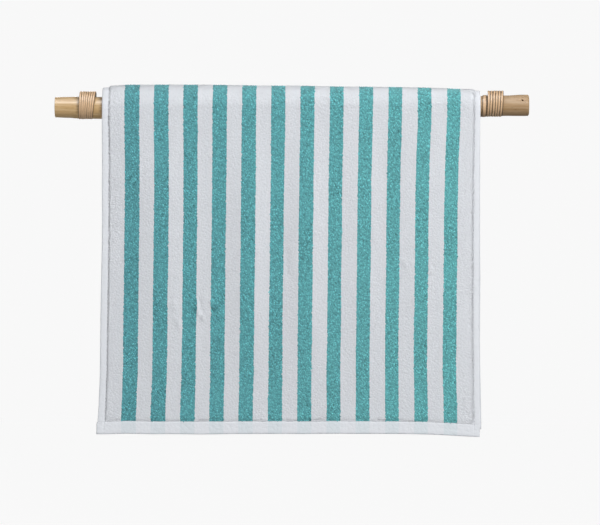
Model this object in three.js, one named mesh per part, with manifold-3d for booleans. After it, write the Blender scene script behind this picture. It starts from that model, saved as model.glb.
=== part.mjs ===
// A striped terry bath towel hung over a horizontal wooden rail. A collar of wound cane is lashed round the rail
// at each side of the towel. X runs along the rail, Y from the towel's front to its back, and Z is up. The origin is
// on the rail's line, in the middle of its length. All sizes are in millimetres.

import * as THREE from 'three';
import { mergeVertices } from 'three/addons/utils/BufferGeometryUtils.js';
import Module from 'manifold-3d';

const wasm = await Module();
wasm.setup();

// The towel as it is cut and woven
const TOWEL_WIDTH = 700;
const FRONT_LENGTH = 647;
const BACK_LENGTH = 641;
const PILE_THICKNESS = 9.4;
const HEM_THICKNESS = 3.6;
const SIDE_HEM = 12;
const END_HEM = 25;
const HEM_STEP = 1.8;

// How the towel lies on the rail
const SKEW = THREE.MathUtils.degToRad(0.62);
const CLOTH_GAP = 0.5;
const EDGE_REACH = 40;

// Depths below the rail where the soft folds begin, are fullest, begin to fade and are gone
const FOLD_DEPTHS = { start: 25, full: 170, fade: 330, end: 560 };

// How finely the towel is divided
const BODY_COLUMNS = 30;
const DROP_ROWS = 17;
const CREST_ROWS = 14;
const CREST_MARGIN = 4;
const BESIDE = 0.5;

// The rail
const RAIL_SIDES = 28;
const RAIL_STEP = 22;
const LEFT_CHAMFER = 0.8;
const RIGHT_CHAMFER = 2.4;
const HOLE_RADIUS = 1.9;
const HOLE_SIDES = 12;
const HOLE_DEPTH = 14;
const HOLE_FROM_END = 12.5;
const HOLE_TILT = THREE.MathUtils.degToRad(27);

// The cane collars
const COLLAR_SIDES = 26;
const COLLAR_GAP = 0.35;
const COLLAR_UNDER = 0.9;
const CANE_GROOVE = 0.9;
const LEAST_GROOVE = 0.25;
const STEPS_PER_TURN = 4;

// Points nearer than this are one point when a solid is made for cutting
const SAME_POINT = 1e-4;

// The rail's natural shape: how far its middle rises above the straight line, and its radius, at places along it
const RAIL_SECTIONS = [
  { x: -440, rise: -0.9, radius: 18.7 },
  { x: -412, rise: -1.1, radius: 19.4 },
  { x: -396, rise: -1.6, radius: 20.2 },
  { x: -355, rise: -2.1, radius: 20.3 },
  { x: -300, rise: -1.2, radius: 21.6 },
  { x: -200, rise: -0.4, radius: 22.0 },
  { x: 0, rise: 0.6, radius: 22.0 },
  { x: 200, rise: 0.6, radius: 21.6 },
  { x: 355, rise: 0.9, radius: 19.1 },
  { x: 400, rise: 2.1, radius: 19.0 },
  { x: 425, rise: 2.7, radius: 19.8 },
  { x: 440, rise: 2.8, radius: 19.8 },
];

// The two collars: the middle of each, its width, its number of turns, and how far it stands above the rail's middle
const COLLARS = [
  { name: 'lashing_left', x: -377, width: 31, turns: 7, top: 30.6 },
  { name: 'lashing_right', x: 377.5, width: 31, turns: 6.5, top: 28.6 },
];

// How far the fold stands off the rail, from a soft lift on the left to a tight fit on the right
const FOLD_LIFTS = [
  { x: -360, lift: 6.4 },
  { x: -300, lift: 7.6 },
  { x: -180, lift: 6.4 },
  { x: -20, lift: 3.6 },
  { x: 120, lift: 1.9 },
  { x: 240, lift: 1 },
  { x: 320, lift: 0 },
  { x: 360, lift: 0 },
];

// The front's outline: how far each side edge stands out from a straight one, at depths below the rail
const FRONT_EDGES = [
  { depth: 0, left: 0, right: 0 },
  { depth: 130, left: -1.5, right: -0.8 },
  { depth: 245, left: -2.6, right: 0 },
  { depth: 400, left: -1.5, right: 1.3 },
  { depth: 490, left: -1.5, right: 3.3 },
  { depth: 545, left: -0.1, right: 4.5 },
  { depth: 578, left: 1.6, right: 5.8 },
  { depth: 584, left: 3.8, right: 6 },
  { depth: 608, left: 4, right: 5 },
];

// The back's outline, plainer
const BACK_EDGES = [
  { depth: 0, left: 0, right: 0 },
  { depth: 300, left: -1.5, right: -2.6 },
  { depth: 450, left: 0, right: -4.8 },
  { depth: 608, left: 2, right: -3.8 },
];

// How much lower or higher than a straight line each drop's bottom hem hangs
const FRONT_SAGS = [
  { x: -350, sag: 1 },
  { x: -300, sag: 2.4 },
  { x: -240, sag: 3.8 },
  { x: -170, sag: 4.1 },
  { x: -80, sag: 2.8 },
  { x: 10, sag: 2.1 },
  { x: 110, sag: 0 },
  { x: 200, sag: -1 },
  { x: 290, sag: -1.8 },
  { x: 350, sag: -0.6 },
];
const BACK_SAGS = [
  { x: -350, sag: 0 },
  { x: -100, sag: 2.4 },
  { x: 150, sag: 3.6 },
  { x: 350, sag: 0 },
];

// Soft folds down each drop: the middle of each along the rail, its half width, how far it stands out,
// and how far it leans to the right by the bottom
const FRONT_FOLDS = [
  { x: -240, half: 50, out: 3.2, lean: -6 },
  { x: -80, half: 38, out: 4.2, lean: -6 },
  { x: 28, half: 38, out: 4.6, lean: -6 },
  { x: 125, half: 42, out: 2.2, lean: -4 },
  { x: 235, half: 60, out: 1.4, lean: -4 },
];
const BACK_FOLDS = [
  { x: -290, half: 70, out: 3.4, lean: 12 },
  { x: -110, half: 80, out: 3.8, lean: -10 },
  { x: 60, half: 60, out: 2.6, lean: 14 },
  { x: 220, half: 90, out: 4.2, lean: -8 },
];

// A row's value at a place between two rows of a table, eased from one row to the next
function between(table, key, at, value) {
  const last = table.length - 1;
  if (at <= table[0][key]) {
    return table[0][value];
  }
  if (at >= table[last][key]) {
    return table[last][value];
  }
  const after = table.findIndex((row) => row[key] > at);
  const [low, high] = [table[after - 1], table[after]];
  const share = (at - low[key]) / (high[key] - low[key]);
  return THREE.MathUtils.lerp(low[value], high[value], THREE.MathUtils.smoothstep(share, 0, 1));
}

const railRise = (x) => between(RAIL_SECTIONS, 'x', x, 'rise');
const railRadius = (x) => between(RAIL_SECTIONS, 'x', x, 'radius');

// A closed geometry from rings of points that are joined one after another, with both ends closed
function ringSolid(rings) {
  const count = rings[0].length;
  const positions = rings.flat().flatMap((p) => [p.x, p.y, p.z]);
  const faces = [];
  for (let r = 0; r + 1 < rings.length; r += 1) {
    for (let i = 0; i < count; i += 1) {
      const next = (i + 1) % count;
      const [a, b] = [r * count + i, r * count + next];
      faces.push(a, b, b + count, a, b + count, a + count);
    }
  }
  for (let i = 1; i + 1 < count; i += 1) {
    const end = (rings.length - 1) * count;
    faces.push(0, i + 1, i, end, end + i, end + i + 1);
  }
  return facedGeometry(positions, faces);
}

function facedGeometry(positions, faces) {
  const geometry = new THREE.BufferGeometry();
  geometry.setAttribute('position', new THREE.Float32BufferAttribute(positions, 3));
  geometry.setIndex(faces);
  return geometry;
}

// A three.js geometry as a solid that can be cut, and back again
function toSolid(geometry) {
  const bare = geometry.clone();
  bare.deleteAttribute('normal');
  bare.deleteAttribute('uv');
  const merged = mergeVertices(bare, SAME_POINT);
  return new wasm.Manifold(new wasm.Mesh({
    numProp: 3,
    vertProperties: new Float32Array(merged.getAttribute('position').array),
    triVerts: new Uint32Array(merged.getIndex().array),
  }));
}

function fromSolid(solid) {
  const mesh = solid.getMesh();
  return facedGeometry(Array.from(mesh.vertProperties), Array.from(mesh.triVerts));
}

// A circle of the rail, seen from the right end, starting at the top
function circle(x, rise, radius, sides) {
  return Array.from({ length: sides }, (_, i) => {
    const turn = (2 * Math.PI * i) / sides;
    return new THREE.Vector3(x, -radius * Math.sin(turn), rise + radius * Math.cos(turn));
  });
}

// The rail: round, a little crooked and uneven, with flat chamfered ends and a blind hole near the right end
function railGeometry() {
  const left = RAIL_SECTIONS[0].x;
  const right = RAIL_SECTIONS[RAIL_SECTIONS.length - 1].x;
  const inner = [left + LEFT_CHAMFER, right - RIGHT_CHAMFER];
  const steps = Math.round((inner[1] - inner[0]) / RAIL_STEP);
  const rings = [circle(left, railRise(left), railRadius(left) - LEFT_CHAMFER, RAIL_SIDES)];
  for (let i = 0; i <= steps; i += 1) {
    const x = THREE.MathUtils.lerp(inner[0], inner[1], i / steps);
    rings.push(circle(x, railRise(x), railRadius(x), RAIL_SIDES));
  }
  rings.push(circle(right, railRise(right), railRadius(right) - RIGHT_CHAMFER, RAIL_SIDES));

  const holeX = right - HOLE_FROM_END;
  const holeLength = 2 * HOLE_DEPTH;
  const hole = new THREE.CylinderGeometry(HOLE_RADIUS, HOLE_RADIUS, holeLength, HOLE_SIDES);
  hole.rotateX(Math.PI / 2 - HOLE_TILT);
  const out = new THREE.Vector3(0, -Math.cos(HOLE_TILT), Math.sin(HOLE_TILT));
  const mouth = out.multiplyScalar(railRadius(holeX));
  hole.translate(holeX + mouth.x, mouth.y, railRise(holeX) + mouth.z);
  return fromSolid(toSolid(ringSolid(rings)).subtract(toSolid(hole)));
}

// A collar of wound cane: a sleeve round the rail, thin below and deep above, ridged by the turns of its winding
function collarGeometry({ x: middle, width, turns, top }) {
  const start = middle - width / 2;
  const steps = Math.round(turns * STEPS_PER_TURN);
  const outer = [];
  for (let i = 0; i <= steps; i += 1) {
    const x = start + (width * i) / steps;
    const low = railRadius(x) + COLLAR_UNDER;
    const radius = (top + low) / 2;
    const lift = (top - low) / 2;
    outer.push(circle(x, railRise(x) + lift, radius, COLLAR_SIDES).map((point, side) => {
      const phase = (i / STEPS_PER_TURN) - side / COLLAR_SIDES;
      const inset = CANE_GROOVE * Math.cos(Math.PI * phase) ** 2;
      const share = THREE.MathUtils.clamp((point.z - railRise(x) + low) / (top + low), LEAST_GROOVE, 1);
      const centre = new THREE.Vector3(x, 0, railRise(x) + lift);
      return point.lerp(centre, (inset * share) / radius);
    }));
  }
  const bore = [start + width, middle, start].map(
    (x) => circle(x, railRise(x), railRadius(x) + COLLAR_GAP, COLLAR_SIDES));

  const rings = [...outer, ...bore];
  const count = COLLAR_SIDES;
  const faces = [];
  for (let r = 0; r < rings.length; r += 1) {
    const nextRing = (r + 1) % rings.length;
    for (let i = 0; i < count; i += 1) {
      const next = (i + 1) % count;
      const [a, b] = [r * count + i, r * count + next];
      const [c, d] = [nextRing * count + next, nextRing * count + i];
      faces.push(a, b, c, a, c, d);
    }
  }
  return facedGeometry(rings.flat().flatMap((p) => [p.x, p.y, p.z]), faces);
}

// How strong the soft folds are at a depth, from 0 to 1
function foldStrength(depth) {
  const { start, full, fade, end } = FOLD_DEPTHS;
  return THREE.MathUtils.smoothstep(depth, start, full) * (1 - THREE.MathUtils.smoothstep(depth, fade, end));
}

// How far the soft folds of one drop stand out at a place
function foldsOut(folds, x, depth) {
  return folds.reduce((sum, fold) => {
    const away = (x - fold.x - (fold.lean * depth) / FRONT_LENGTH) / fold.half;
    return sum + fold.out * Math.exp(-away * away);
  }, 0);
}

// The middle of the cloth's thickness, for a place on the flat towel: across it from its middle, and along it from
// the fold, with the front negative
function clothMiddle(across, along) {
  const straightX = across * Math.cos(SKEW) + along * Math.sin(SKEW);
  const way = along * Math.cos(SKEW) - across * Math.sin(SKEW);
  const side = Math.sign(way);
  const bend = railRadius(straightX) + CLOTH_GAP + PILE_THICKNESS / 2;
  const lift = between(FOLD_LIFTS, 'x', straightX, 'lift');
  const quarter = (Math.PI / 2) * bend;
  const rise = railRise(straightX);
  if (Math.abs(way) <= quarter) {
    const turn = way / bend;
    const soft = lift * Math.cos(turn) ** 2;
    return new THREE.Vector3(straightX, bend * Math.sin(turn), rise + bend * Math.cos(turn) + soft);
  }
  const depth = Math.abs(way) - quarter;
  const edges = side < 0 ? FRONT_EDGES : BACK_EDGES;
  const folds = side < 0 ? FRONT_FOLDS : BACK_FOLDS;
  const sag = between(side < 0 ? FRONT_SAGS : BACK_SAGS, 'x', across, 'sag') * (depth / FRONT_LENGTH) ** 2;
  const nearLeft = THREE.MathUtils.smoothstep(EDGE_REACH - TOWEL_WIDTH / 2 - across, 0, EDGE_REACH);
  const nearRight = THREE.MathUtils.smoothstep(EDGE_REACH - TOWEL_WIDTH / 2 + across, 0, EDGE_REACH);
  const shift = between(edges, 'depth', depth, 'right') * nearRight
    - between(edges, 'depth', depth, 'left') * nearLeft;
  const wave = foldsOut(folds, straightX, depth) * foldStrength(depth);
  return new THREE.Vector3(straightX + shift, side * (bend + wave), rise - depth - sag);
}

// The cloth's own outward direction there, from the places just beside it
function clothNormal(across, along) {
  const rightward = clothMiddle(across + BESIDE, along).sub(clothMiddle(across - BESIDE, along));
  const backward = clothMiddle(across, along + BESIDE).sub(clothMiddle(across, along - BESIDE));
  return rightward.cross(backward).normalize();
}

// Places along one direction of the towel: both hems, the step up to the pile, and the pile between
function places(start, end, hem, inner) {
  return [start, start + hem, start + hem + HEM_STEP, ...inner, end - hem - HEM_STEP, end - hem, end];
}

// The towel: one sheet over the rail, thick where it has pile and thin at its hems
function towelGeometry() {
  const half = TOWEL_WIDTH / 2;
  const bodyHalf = half - SIDE_HEM - HEM_STEP;
  const bodyPlaces = Array.from({ length: BODY_COLUMNS - 1 }, (_, i) =>
    THREE.MathUtils.lerp(-bodyHalf, bodyHalf, (i + 1) / BODY_COLUMNS));
  const columns = places(-half, half, SIDE_HEM, bodyPlaces);

  const crest = (Math.PI / 2) * (railRadius(0) + CLOTH_GAP + PILE_THICKNESS / 2) + CREST_MARGIN;
  const spread = (from, to, count) =>
    Array.from({ length: count }, (_, i) => THREE.MathUtils.lerp(from, to, (i + 1) / (count + 1)));
  const rowPlaces = [
    ...spread(-FRONT_LENGTH + END_HEM + HEM_STEP, -crest, DROP_ROWS),
    ...Array.from({ length: CREST_ROWS + 1 }, (_, i) => THREE.MathUtils.lerp(-crest, crest, i / CREST_ROWS)),
    ...spread(crest, BACK_LENGTH - END_HEM - HEM_STEP, DROP_ROWS),
  ];
  const rows = places(-FRONT_LENGTH, BACK_LENGTH, END_HEM, rowPlaces);

  const isHem = (index, list) => index < 2 || index > list.length - 3;
  const positions = [];
  for (const face of [1, -1]) {
    rows.forEach((along, r) => columns.forEach((across, c) => {
      const thickness = isHem(r, rows) || isHem(c, columns) ? HEM_THICKNESS : PILE_THICKNESS;
      const out = clothNormal(across, along).multiplyScalar((face * thickness) / 2);
      const point = clothMiddle(across, along).add(out);
      positions.push(point.x, point.y, point.z);
    }));
  }

  const [wide, long] = [columns.length, rows.length];
  const under = wide * long;
  const outside = (r, c) => r * wide + c;
  const inside = (r, c) => under + r * wide + c;
  const faces = [];
  const quad = (a, b, c, d) => faces.push(a, b, c, a, c, d);
  for (let r = 0; r + 1 < long; r += 1) {
    for (let c = 0; c + 1 < wide; c += 1) {
      quad(outside(r, c), outside(r, c + 1), outside(r + 1, c + 1), outside(r + 1, c));
      quad(inside(r, c), inside(r + 1, c), inside(r + 1, c + 1), inside(r, c + 1));
    }
    quad(outside(r, 0), outside(r + 1, 0), inside(r + 1, 0), inside(r, 0));
    quad(outside(r, wide - 1), inside(r, wide - 1), inside(r + 1, wide - 1), outside(r + 1, wide - 1));
  }
  for (let c = 0; c + 1 < wide; c += 1) {
    quad(outside(0, c), inside(0, c), inside(0, c + 1), outside(0, c + 1));
    quad(outside(long - 1, c), outside(long - 1, c + 1), inside(long - 1, c + 1), inside(long - 1, c));
  }
  return facedGeometry(positions, faces);
}

const wood = new THREE.MeshStandardMaterial({ color: 0xcfae86, roughness: 0.6, metalness: 0 });
const cane = new THREE.MeshStandardMaterial({ color: 0xd9b891, roughness: 0.5, metalness: 0 });
const terry = new THREE.MeshStandardMaterial({ color: 0x9cc9c9, roughness: 0.95, metalness: 0 });

function namedMesh(name, geometry, material) {
  const mesh = new THREE.Mesh(geometry, material);
  mesh.name = name;
  return mesh;
}

const rack = new THREE.Group();
rack.add(namedMesh('rail', railGeometry(), wood));
for (const collar of COLLARS) {
  rack.add(namedMesh(collar.name, collarGeometry(collar), cane));
}
rack.add(namedMesh('towel', towelGeometry(), terry));

export default rack;
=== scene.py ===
# Bath towel on a wooden rail: a striped terry towel folded over a round rail, with a collar of wound cane lashed
# round the rail at each side of it. Sizes in the tables are millimetres, and everything else is metres. X runs along
# the rail, Y from the towel's front to its back, Z is up, and the origin is on the rail's line, halfway along it.
import math
from functools import partial

import bmesh
import bpy
import numpy as np
from bpy.props import FloatProperty, FloatVectorProperty, IntProperty, PointerProperty
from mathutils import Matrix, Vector


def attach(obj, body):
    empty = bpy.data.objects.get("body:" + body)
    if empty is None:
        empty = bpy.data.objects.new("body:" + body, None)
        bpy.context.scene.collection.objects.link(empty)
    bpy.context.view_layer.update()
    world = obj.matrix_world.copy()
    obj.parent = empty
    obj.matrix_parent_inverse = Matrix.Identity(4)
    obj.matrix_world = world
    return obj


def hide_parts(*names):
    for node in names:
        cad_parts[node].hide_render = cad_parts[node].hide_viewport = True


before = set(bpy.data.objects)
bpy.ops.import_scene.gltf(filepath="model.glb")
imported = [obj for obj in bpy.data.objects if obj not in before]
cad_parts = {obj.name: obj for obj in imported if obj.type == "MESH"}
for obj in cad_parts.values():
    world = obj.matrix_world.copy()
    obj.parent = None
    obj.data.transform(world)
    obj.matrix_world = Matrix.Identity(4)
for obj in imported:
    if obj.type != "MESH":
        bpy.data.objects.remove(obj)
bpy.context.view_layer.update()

bl_info = {
    "name": "Bath Towel on a Rail",
    "version": (1, 0, 0),
    "blender": (4, 5, 0),
    "location": "View3D > Sidebar > Towel",
    "description": "Builds a striped terry towel over a wooden rail with two cane collars",
    "category": "Add Mesh",
}

MM = 0.001
BODY = "root"


def columns(names, rows):
    """A short table in millimetres as named columns in metres."""
    return dict(zip(names.split(), np.array(rows, float).T * MM))


# The rail's natural shape: how far its middle rises above the straight line, and its radius, at places along it
RAIL_SECTIONS = columns("x rise radius", [
    (-440, -0.9, 18.7), (-412, -1.1, 19.4), (-396, -1.6, 20.2), (-355, -2.1, 20.3), (-300, -1.2, 21.6),
    (-200, -0.4, 22.0), (0, 0.6, 22.0), (200, 0.6, 21.6), (355, 0.9, 19.1), (400, 2.1, 19.0), (425, 2.7, 19.8),
    (440, 2.8, 19.8),
])

POLE_RINGS = 150
POLE_SIDES = 72
HOLE_SIDES = 20

# How far the fold stands off the rail, from a soft lift on the left to a tight fit on the right
FOLD_LIFTS = columns("x lift", [
    (-360, 10.4), (-300, 11.4), (-180, 10.2), (-20, 7.6), (120, 5.8), (240, 4.8), (320, 3.4), (360, 2.6),
])

# The front's outline: how far each side edge stands out from a straight one, at depths below the rail
FRONT_EDGES = columns("depth left right", [
    (0, 0.0, 0.0), (130, -1.5, -0.8), (245, -2.6, 0.0), (400, -1.5, 1.3), (490, -1.5, 3.3), (545, -0.1, 4.5),
    (578, 1.6, 5.8), (584, 3.8, 6.0), (608, 4.0, 5.0),
])
BACK_EDGES = columns("depth left right", [
    (0, 0.0, 0.0), (300, -1.5, -2.6), (450, 0.0, -4.8), (608, 2.0, -3.8),
])

# How far the front's cloth is drawn in towards its middle, where the folds take up some of its width
FRONT_PULLS = columns("x pull", [
    (-350, 0.0), (-312, 2.3), (-285, 2.6), (-215, 2.4), (-150, 0.8), (-60, 0.5), (0, -0.5), (100, -1.1), (180, -1.7),
    (250, -2.9), (305, -3.9), (350, 0.0),
])

# How much lower or higher than a straight line each drop's bottom hem hangs
FRONT_SAGS = columns("x sag", [
    (-350, 1.0), (-300, 2.4), (-240, 3.8), (-170, 4.1), (-80, 2.8), (10, 2.1), (110, 0.0), (200, -1.0), (290, -1.8),
    (350, -0.6),
])
BACK_SAGS = columns("x sag", [
    (-350, 0.0), (-100, 2.4), (150, 3.6), (350, 0.0),
])

# Soft folds down each drop: the middle of each along the rail, its half width, how far it stands out,
# and how far it leans to the right by the bottom
FRONT_FOLDS = columns("x half out lean", [
    (-240, 48, 4.4, -6), (-80, 38, 5.8, -6), (28, 38, 6.2, -6), (125, 40, 3.2, -4), (235, 58, 1.8, -4),
])
BACK_FOLDS = columns("x half out lean", [
    (-290, 70, 3.4, 12), (-110, 80, 3.8, -10), (60, 60, 2.6, 14), (220, 90, 4.2, -8),
])
# Depths below the rail where the soft folds begin, are fullest, begin to fade and are gone, and where the pull is
FOLD_DEPTHS = dict(start=25 * MM, full=170 * MM, fade=330 * MM, end=560 * MM)
PULL_DEPTHS = dict(start=0.0, full=150 * MM, fade=470 * MM, end=590 * MM)
# How far in from a side edge its outline still moves the cloth, and the air between the rail and the cloth
EDGE_REACH = 40 * MM
CLOTH_GAP = 0.5 * MM

# Small creases in the cloth, as ridges and troughs: the place on the flat towel, the length, the half width and the
# height of each. The tilt is the lean of its upper end to the left, in degrees.
CREASES = columns("across along length half height", [
    (-174, -419, 34, 4.6, 2.7), (-165, -415, 34, 5.0, -1.5), (-164, -430, 20, 3.6, 1.6), (-138, -412, 30, 5.0, 1.9),
    (-130, -408, 26, 5.0, -0.8), (-183, -434, 26, 5.0, 1.8), (-191, -428, 24, 5.0, -0.9), (-207, -444, 22, 4.4, 1.2),
    (-216, -412, 20, 6.0, 1.4), (214, -330, 20, 5.0, 1.2), (226, -328, 14, 5.0, 0.7), (262, -342, 15, 5.0, 1.0),
    (-6, -330, 70, 9.0, -0.9), (84, -250, 60, 9.0, 0.8), (-60, 380, 60, 7.0, 1.8), (-48, 384, 54, 7.0, -1.4),
    (180, 300, 44, 6.0, 1.6), (-230, 210, 50, 8.0, -1.4),
])
CREASE_TILTS = np.radians([8, 8, 41, 36, 36, 42, 42, 30, 10, 30, 30, 24, 4, -8, 28, 28, -35, 18])
# How far off a crease is taken to be from the drop that it isn't on
FAR_OFF = 9.0

# The two collars: the middle of each, its width, its turns, the turns that climb to it from the bare rail, how far it
# stands above the rail's middle, how much its last turns lean, and how dark the painted shade in the gaps between
# them is. The steps are points round one turn or round the sleeve, and the sides are points round the strip.
COLLARS = {
    "lashing_left": dict(
        x=-379.0 * MM, width=30 * MM, turns=7, climb=0.0, top=30.6 * MM, slant=0.11, gaps=1.04, seed=4),
    "lashing_right": dict(
        x=377.5 * MM, width=31 * MM, turns=6, climb=1.0, top=28.6 * MM, slant=0.04, gaps=1.06, seed=9),
}
TURN_STEPS = 60
STRIP_SIDES = 14
# Where the strip begins, as an angle behind the rail, how far it strays from its path, and how deep its ends tuck in
STRIP_START = math.radians(150)
STRAY = 0.12 * MM
TUCK = 2.2 * MM

# Where the sheet has points: in from its rolled edge, and to both sides of a hem's inner edge
ROLL_STEPS = np.array([0.0, 0.25, 0.8, 1.8, 5.0]) * MM
SEAM_STEPS = np.array([-2.6, -1.7, -1.1, -0.5, 0.2, 1.2, 2.6, 5.0]) * MM
# The seam that holds a hem down: how far outside the hem's inner edge it runs, and how wide and deep its groove is
SEAM_INSET = 1.1 * MM
SEAM_WIDTH = 0.6 * MM
SEAM_DEPTH = 0.4 * MM

# Gaps between the sheet's points between its hems, across and along, and its inner half's share of the pile's
SHEET_GAPS = (6.4 * MM, 5.2 * MM)
INNER_SHARE = 0.92
# The loops: their sizes and the gap between their rows in loop spacings, how far they may stand off their places in
# spacings across and along, and how far they lean. The presser foot sinks them beside the end hems and the right hem.
LOOP_SIZES = {"Loop Length": 1.65, "Loop Width": 1.02, "Loop Height": 0.86}
ROW_GAP = 0.92
LOOP_STRAY = (0.25, 0.32)
LOOP_LEAN = 0.45
PRESSED = (1.5 * MM, 0.8 * MM)

# The photo's frame: pixels across and down, the row that the rail's line is on, the column of its middle, and the
# length that one pixel shows at the towel's front
PHOTO_WIDE = 600
PHOTO_HIGH = 525
RAIL_ROW = 106.2
RAIL_COLUMN = 291.5
PIXEL = 1.847 * MM

# The studio: a round floor that glows a little, and square soft lights with their width, place and target. Only glossy
# surfaces catch the gloss light overhead, for the satin line along the wood.
FLOOR_RADIUS = 36.0
FLOOR_SIDES = 64
FLOOR_GLOW = 0.755
TOWEL_MIDDLE = (0.0, 0.0, -0.3)
LIGHTS = {
    "key": (2.8, (2.3, -3.5, 2.5), TOWEL_MIDDLE),
    "fill": (2.6, (-2.2, -3.2, -1.3), TOWEL_MIDDLE),
    "back": (2.4, (-1.7, 3.9, 0.3), TOWEL_MIDDLE),
    "gloss": (2.7, (-1.2, -1.7, 3.4), (-0.3, 0.0, 0.0)),
}


def linear(code):
    """An sRGB hex colour as linear red, green, blue and alpha."""
    parts = [int(code[i:i + 2], 16) / 255 for i in (0, 2, 4)]
    return (*[p / 12.92 if p <= 0.04045 else ((p + 0.055) / 1.055) ** 2.4 for p in parts], 1.0)


Length = partial(FloatProperty, unit="LENGTH")
Power = partial(FloatProperty, unit="POWER")
Colour = partial(FloatVectorProperty, size=4, subtype="COLOR")


class TowelSettings(bpy.types.PropertyGroup):
    """The towel's cut, its weave and its colours."""

    width: Length(name="Width", description="Width of the flat towel", default=0.700)
    front_length: Length(name="Front length", description="From the fold to the front hem", default=0.647)
    back_length: Length(name="Back length", description="From the fold to the back hem", default=0.641)
    pile_thickness: Length(name="Pile thickness", description="From loop tips to loop tips", default=0.0094)
    ground_thickness: Length(name="Ground thickness", description="Of the cloth under the loops", default=0.0071)
    hem_thickness: Length(name="Hem thickness", description="Of the folded and sewn edges", default=0.0036)
    side_hem: Length(name="Side hem", description="Width of the hem down the right side", default=0.0113)
    left_hem: Length(name="Left hem", description="Width of the left side's hem, sewn a little wider", default=0.0138)
    end_hem: Length(name="End hem", description="Width of the hems at the two ends", default=0.0236)
    skew: FloatProperty(
        name="Skew", description="How far askew the towel hangs", default=math.radians(0.62), subtype="ANGLE")
    stripes: IntProperty(name="Stripes", description="Number of coloured stripes", default=12, min=1)
    first_stripe: Length(name="First stripe", description="From the left edge to the first stripe", default=0.0420)
    stripe_pitch: Length(name="Stripe pitch", description="From one stripe to the next", default=0.0542)
    stripe_width: Length(name="Stripe width", description="Width of a coloured stripe", default=0.0261)
    white: Colour(name="White", description="Undyed cotton", default=linear("d8dbe0"))
    teal: Colour(name="Teal", description="Dyed cotton", default=linear("68b6b9"))
    # The shaded teal is painted shade: the teal that the stripes darken to towards the left, away from the light
    shaded_teal: Colour(name="Deep teal", description="Where the dye took most", default=linear("5ca5ad"))
    loop_spacing: Length(name="Loop spacing", description="Between terry loops", default=0.0034)
    stitch_length: Length(name="Stitch length", description="From one stitch to the next", default=0.0062)
    seed: IntProperty(name="Seed", description="For the lie of the loops", default=7)


class RailSettings(bpy.types.PropertyGroup):
    """The rail and the cane wound round it."""

    left_cut: Length(name="Left cut", description="Sawn off the left end", default=0.0014)
    left_chamfer: Length(name="Left chamfer", description="At the crisp end", default=0.0008)
    right_chamfer: Length(name="Right chamfer", description="At the worn end", default=0.0026)
    hole_width: Length(name="Hole", description="Width of the drilled hole", default=0.0042)
    cane_width: Length(name="Cane width", description="Width of the split cane", default=0.0046)
    cane_thickness: Length(name="Cane thickness", description="Thickness of the split cane", default=0.0026)
    pale_wood: Colour(name="Pale wood", description="Between the grain", default=linear("dcc19a"))
    dark_wood: Colour(name="Dark wood", description="The grain's lines", default=linear("b8935f"))
    cane: Colour(name="Cane", description="Skin of the cane", default=linear("e4c49f"))


class StageSettings(bpy.types.PropertyGroup):
    """The camera, the floor and the studio light."""

    distance: Length(name="Distance", description="From the camera to the towel's front", default=8.0)
    front: Length(name="Front", description="How far the towel's front is from the rail's line", default=0.032)
    floor_drop: Length(name="Floor", description="How far the floor lies below the rail", default=1.9)
    floor: Colour(name="Floor colour", description="Pale studio floor", default=linear("f4f4f4"))
    key_power: Power(name="Key light", description="Large soft light above and to the right", default=232.0)
    fill_power: Power(name="Fill light", description="Weak light from the left and below", default=38.0)
    back_power: Power(name="Back light", description="Low behind the towel, for its back", default=130.0)
    gloss_power: Power(name="Gloss light", description="Overhead, for highlights only", default=340.0)
    surround: FloatProperty(name="Surround", description="Brightness of the room's light", default=0.28, min=0.0)
    backdrop: FloatProperty(
        name="Backdrop", description="Brightness that the camera sees behind", default=0.94, min=0.0)


def circle(count):
    """Angles in even steps round a circle."""
    return np.linspace(0, 2 * math.pi, count, endpoint=False)


def smooth(value, low, high):
    """Eases from 0 at low to 1 at high."""
    part = np.clip((value - low) / (high - low), 0.0, 1.0)
    return part * part * (3.0 - 2.0 * part)


def eased(table, key, at, wanted):
    """Reads a table's column at places between its rows, easing from row to row."""
    places, values = table[key], table[wanted]
    row = np.clip(np.searchsorted(places, at, side="right"), 1, len(places) - 1)
    part = smooth(at, places[row - 1], places[row])
    return values[row - 1] + (values[row] - values[row - 1]) * part


def by_drop(front, tables, key, at, wanted):
    """Reads the front drop's table where front is true, and the back drop's elsewhere."""
    return np.where(front, *[eased(table, key, at, wanted) for table in tables])


def swell(depth, depths):
    """Eases from 0 to 1 and back to 0 over four depths."""
    return smooth(depth, depths["start"], depths["full"]) * (1.0 - smooth(depth, depths["fade"], depths["end"]))


def rail_rise(x):
    """How far the rail's middle rises above the straight line."""
    return eased(RAIL_SECTIONS, "x", x, "rise")


def rail_radius(x):
    """The rail's radius."""
    return eased(RAIL_SECTIONS, "x", x, "radius")


def folds_out(folds, x, depth, length):
    """How far the soft folds stand out, before they fade at the top and the bottom."""
    out = np.zeros_like(x)
    for at, half, height, lean in zip(*folds.values()):
        out += height * np.exp(-((x - at - lean * depth / length) / half) ** 2)
    return out


def creases_out(across, along):
    """How far the small creases stand out of the cloth."""
    out = np.zeros_like(across)
    for tilt, (middle, place, length, half, height) in zip(CREASE_TILTS, zip(*CREASES.values())):
        right = across - middle
        down = np.where(along * place > 0, np.abs(along) - abs(place), FAR_OFF)
        lengthwise = right * math.sin(tilt) + down * math.cos(tilt)
        sideways = right * math.cos(tilt) - down * math.sin(tilt)
        out += height * np.exp(-(sideways / half) ** 2 - (2.0 * lengthwise / length) ** 4)
    return out


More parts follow.
